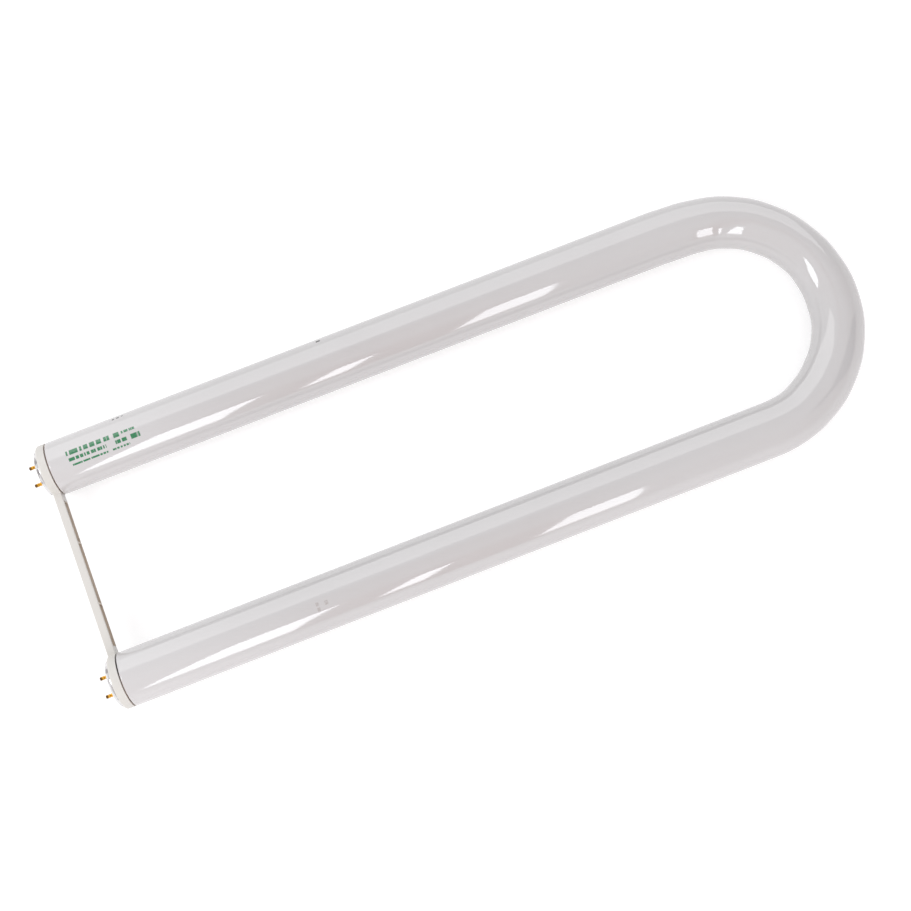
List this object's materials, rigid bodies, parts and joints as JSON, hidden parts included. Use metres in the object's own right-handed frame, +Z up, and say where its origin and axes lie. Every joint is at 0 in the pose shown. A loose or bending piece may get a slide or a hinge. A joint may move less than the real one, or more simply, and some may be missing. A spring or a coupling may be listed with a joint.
{
  "type": "u shaped fluorescent bulb",
  "caption": "White-coated fluorescent tube bent into a U, with a metal bi-pin base on each leg and a moulded brace holding the legs apart.",
  "frame": {"origin": "on the surface the lamp lies on, under the middle of its length and half way between its legs", "axes": "+X along the legs from the pins to the bend, +Y across the lamp to its left leg, +Z up from the surface"},
  "size_m": [0.5715, 0.1898, 0.0375],
  "materials": {
    "coated_glass": "glossy clear glass over a white powder coat",
    "base_cement": "matte cement",
    "cap_metal": "bright drawn aluminium",
    "insulator_board": "matte pressed board",
    "pin_brass": "bright turned brass",
    "wire_metal": "drawn wire",
    "brace_plastic": "cream white moulded plastic, half gloss"
  },
  "bodies": {
    "root": {"glass_tube": "coated_glass", "left_base_cement": "base_cement", "right_base_cement": "base_cement", "left_end_cap": "cap_metal", "right_end_cap": "cap_metal", "left_insulator": "insulator_board", "right_insulator": "insulator_board", "left_outer_pin": "pin_brass", "left_inner_pin": "pin_brass", "right_outer_pin": "pin_brass", "right_inner_pin": "pin_brass", "left_outer_wire": "wire_metal", "left_inner_wire": "wire_metal", "right_outer_wire": "wire_metal", "right_inner_wire": "wire_metal", "brace": "brace_plastic"}
  },
  "joints": []
}
